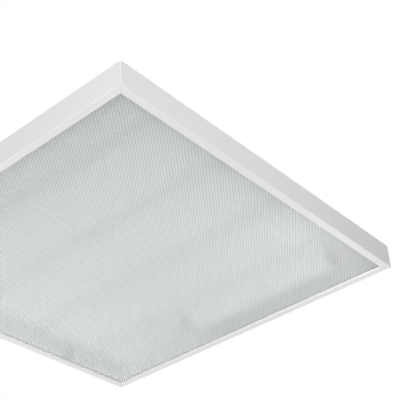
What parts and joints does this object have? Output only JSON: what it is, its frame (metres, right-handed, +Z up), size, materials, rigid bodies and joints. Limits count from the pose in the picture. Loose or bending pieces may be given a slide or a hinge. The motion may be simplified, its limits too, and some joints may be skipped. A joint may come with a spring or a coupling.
{
  "type": "recessed troffer light",
  "caption": "Square lay-in recessed troffer light: shallow white folded-steel tray, inward lip, clear prismatic diffuser sheet, LED strips, driver and a wiring box on the back.",
  "frame": {"origin": "centre of the rim's underside, the plane that lies on the ceiling grid", "axes": "+Z up as the light hangs, out of the back; the light opening faces -Z; X and Y run along the rim's sides, and the removable end rail is on +Y"},
  "size_m": [0.595, 0.595, 0.066],
  "materials": {
    "white_powder_coat": "satin powder coat with a faint orange peel",
    "prismatic_sheet": "clear prismatic polystyrene, slightly green-grey",
    "zinc_steel": "bright zinc plate",
    "aluminium_rivets": "satin",
    "white_board": "white solder mask",
    "led_body": "white body with a yellow phosphor window",
    "white_nylon": "moulded, fine matt texture",
    "red_insulation": "extruded insulation",
    "black_insulation": "extruded insulation",
    "brown_insulation": "extruded insulation",
    "blue_insulation": "extruded insulation",
    "green_yellow_insulation": "green with a yellow stripe",
    "driver_case": "white painted steel",
    "green_board": "green solder mask",
    "yellow_tape": "tape over a wound core",
    "ferrite": "dark sintered ferrite",
    "capacitor_sleeve": "shrunk sleeve",
    "grey_rubber": "matt",
    "tinned_brass": "tin plate",
    "orange_button": "moulded"
  },
  "bodies": {
    "tray": {"housing_tray": "white_powder_coat", "rail_brackets": "zinc_steel", "diffuser_guides": "zinc_steel", "led_board_1": "white_board", "led_board_2": "white_board", "led_board_3": "white_board", "led_board_4": "white_board", "led_packages_1": "led_body", "led_packages_2": "led_body", "led_packages_3": "led_body", "led_packages_4": "led_body", "led_connectors": "white_nylon", "board_rivets": "aluminium_rivets", "red_leads": "red_insulation", "black_leads": "black_insulation", "wire_clips": "white_nylon", "driver_base": "driver_case", "driver_cover": "driver_case", "driver_circuit_board": "green_board", "driver_transformer": "yellow_tape", "driver_choke": "ferrite", "driver_capacitors": "capacitor_sleeve", "driver_input_terminal": "white_nylon", "driver_output_terminal": "white_nylon", "driver_screws": "zinc_steel", "panel_grommet": "grey_rubber", "line_lead": "brown_insulation", "neutral_lead": "blue_insulation", "earth_lead": "green_yellow_insulation", "earth_ring_terminal": "tinned_brass", "earth_screw": "zinc_steel", "terminal_box_base": "white_nylon", "lid_hinge_pin": "zinc_steel", "terminal_box_rivets": "aluminium_rivets", "inlet_clamp": "white_nylon", "clamp_screws": "zinc_steel", "terminal_block": "white_nylon", "terminal_contacts": "tinned_brass", "clip_rivets": "zinc_steel", "suspension_nuts": "zinc_steel"},
    "rail": {"end_rail": "white_powder_coat", "end_rail_screws": "zinc_steel"},
    "diffuser_sheet": {"diffuser": "prismatic_sheet"},
    "box_lid": {"terminal_box_lid": "white_nylon"},
    "button_1": {"release_button_1": "orange_button"},
    "button_2": {"release_button_2": "orange_button"},
    "button_3": {"release_button_3": "orange_button"},
    "clip_1": {"hold_down_clip_1": "zinc_steel"},
    "clip_2": {"hold_down_clip_2": "zinc_steel"},
    "clip_3": {"hold_down_clip_3": "zinc_steel"},
    "clip_4": {"hold_down_clip_4": "zinc_steel"}
  },
  "joints": [
    {"name": "end_rail_slide", "type": "slide", "parent": "tray", "child": "rail", "axis": [0, 1, 0], "range_m": [0, 0.64]},
    {"name": "diffuser_slide", "type": "slide", "parent": "tray", "child": "diffuser_sheet", "axis": [0, 1, 0], "range_m": [0, 0.576]},
    {"name": "lid_hinge", "type": "hinge", "parent": "tray", "child": "box_lid", "pos_m": [0.2095, 0.11, 0.063], "axis": [0, -1, 0], "range_deg": [0, 110]},
    {"name": "button_1_press", "type": "slide", "parent": "tray", "child": "button_1", "axis": [0, 0, -1], "range_m": [0, 0.0012], "stiffness_N_per_m": 600, "springref_m": -0.001},
    {"name": "button_2_press", "type": "slide", "parent": "tray", "child": "button_2", "axis": [0, 0, -1], "range_m": [0, 0.0012], "stiffness_N_per_m": 600, "springref_m": -0.001},
    {"name": "button_3_press", "type": "slide", "parent": "tray", "child": "button_3", "axis": [0, 0, -1], "range_m": [0, 0.0012], "stiffness_N_per_m": 600, "springref_m": -0.001},
    {"name": "clip_1_swivel", "type": "hinge", "parent": "tray", "child": "clip_1", "pos_m": [-0.2835, -0.18, 0.0405], "axis": [0, 0, -1], "range_deg": [0, 90]},
    {"name": "clip_2_swivel", "type": "hinge", "parent": "tray", "child": "clip_2", "pos_m": [0.2835, -0.18, 0.0405], "axis": [0, 0, 1], "range_deg": [0, 90]},
    {"name": "clip_3_swivel", "type": "hinge", "parent": "tray", "child": "clip_3", "pos_m": [-0.2835, 0.18, 0.0405], "axis": [0, 0, 1], "range_deg": [0, 90]},
    {"name": "clip_4_swivel", "type": "hinge", "parent": "tray", "child": "clip_4", "pos_m": [0.2835, 0.18, 0.0405], "axis": [0, 0, -1], "range_deg": [0, 90]}
  ],
  "couplings": [
    {"joint": "diffuser_slide", "follows": "end_rail_slide", "ratio": 0.9}
  ]
}
